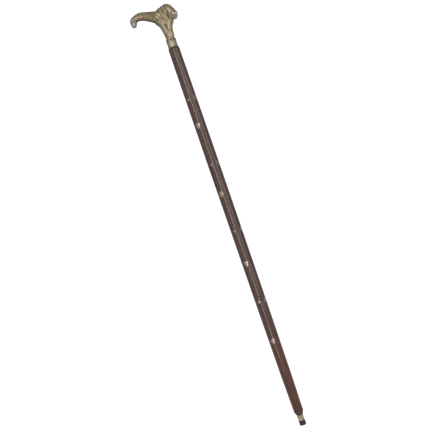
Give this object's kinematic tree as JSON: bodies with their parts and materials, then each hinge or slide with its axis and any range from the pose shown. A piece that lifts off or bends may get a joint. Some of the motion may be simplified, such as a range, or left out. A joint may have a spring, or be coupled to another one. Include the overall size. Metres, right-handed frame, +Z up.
{
  "type": "walking stick",
  "caption": "walking stick with a cast brass lion's head handle, a tapering hardwood shaft set with brass leaf and dot inlays, a brass collar and a rubber-tipped brass ferrule",
  "frame": {"origin": "centre of the rubber tip's flat underside, on the shaft's axis", "axes": "+Z up the shaft to the handle; +X the way the lion's head looks, with the grip reaching to -X; +Y to the back of the pictured side"},
  "size_m": [0.1003, 0.0294, 0.9139],
  "materials": {
    "antique_brass": "cast brass, antiqued grey-olive with dark patina in the carving",
    "polished_brass": "turned and polished brass",
    "inlay_brass": "sheet brass filed flush with the wood",
    "rosewood": "dark reddish brown hardwood, oiled and polished",
    "rubber": "black moulded rubber, matt",
    "steel": "plain turned steel"
  },
  "bodies": {
    "root": {"handle": "antique_brass", "handle_stud": "steel", "neck_ring": "polished_brass", "collar": "polished_brass", "shaft": "rosewood", "dot_inlay_1a": "inlay_brass", "dot_inlay_1b": "inlay_brass", "dot_inlay_3a": "inlay_brass", "dot_inlay_3b": "inlay_brass", "dot_inlay_5a": "inlay_brass", "dot_inlay_5b": "inlay_brass", "dot_inlay_7a": "inlay_brass", "dot_inlay_7b": "inlay_brass", "leaf_inlay_1a": "inlay_brass", "leaf_inlay_1b": "inlay_brass", "leaf_inlay_2a": "inlay_brass", "leaf_inlay_2b": "inlay_brass", "leaf_inlay_3a": "inlay_brass", "leaf_inlay_3b": "inlay_brass", "leaf_inlay_4a": "inlay_brass", "leaf_inlay_4b": "inlay_brass", "leaf_inlay_5a": "inlay_brass", "leaf_inlay_5b": "inlay_brass", "leaf_inlay_6a": "inlay_brass", "leaf_inlay_6b": "inlay_brass", "leaf_inlay_7a": "inlay_brass", "leaf_inlay_7b": "inlay_brass", "leaf_inlay_8a": "inlay_brass", "leaf_inlay_8b": "inlay_brass", "ferrule": "polished_brass", "ferrule_pin": "polished_brass", "tip_washer": "steel", "rubber_tip": "rubber"}
  },
  "joints": []
}
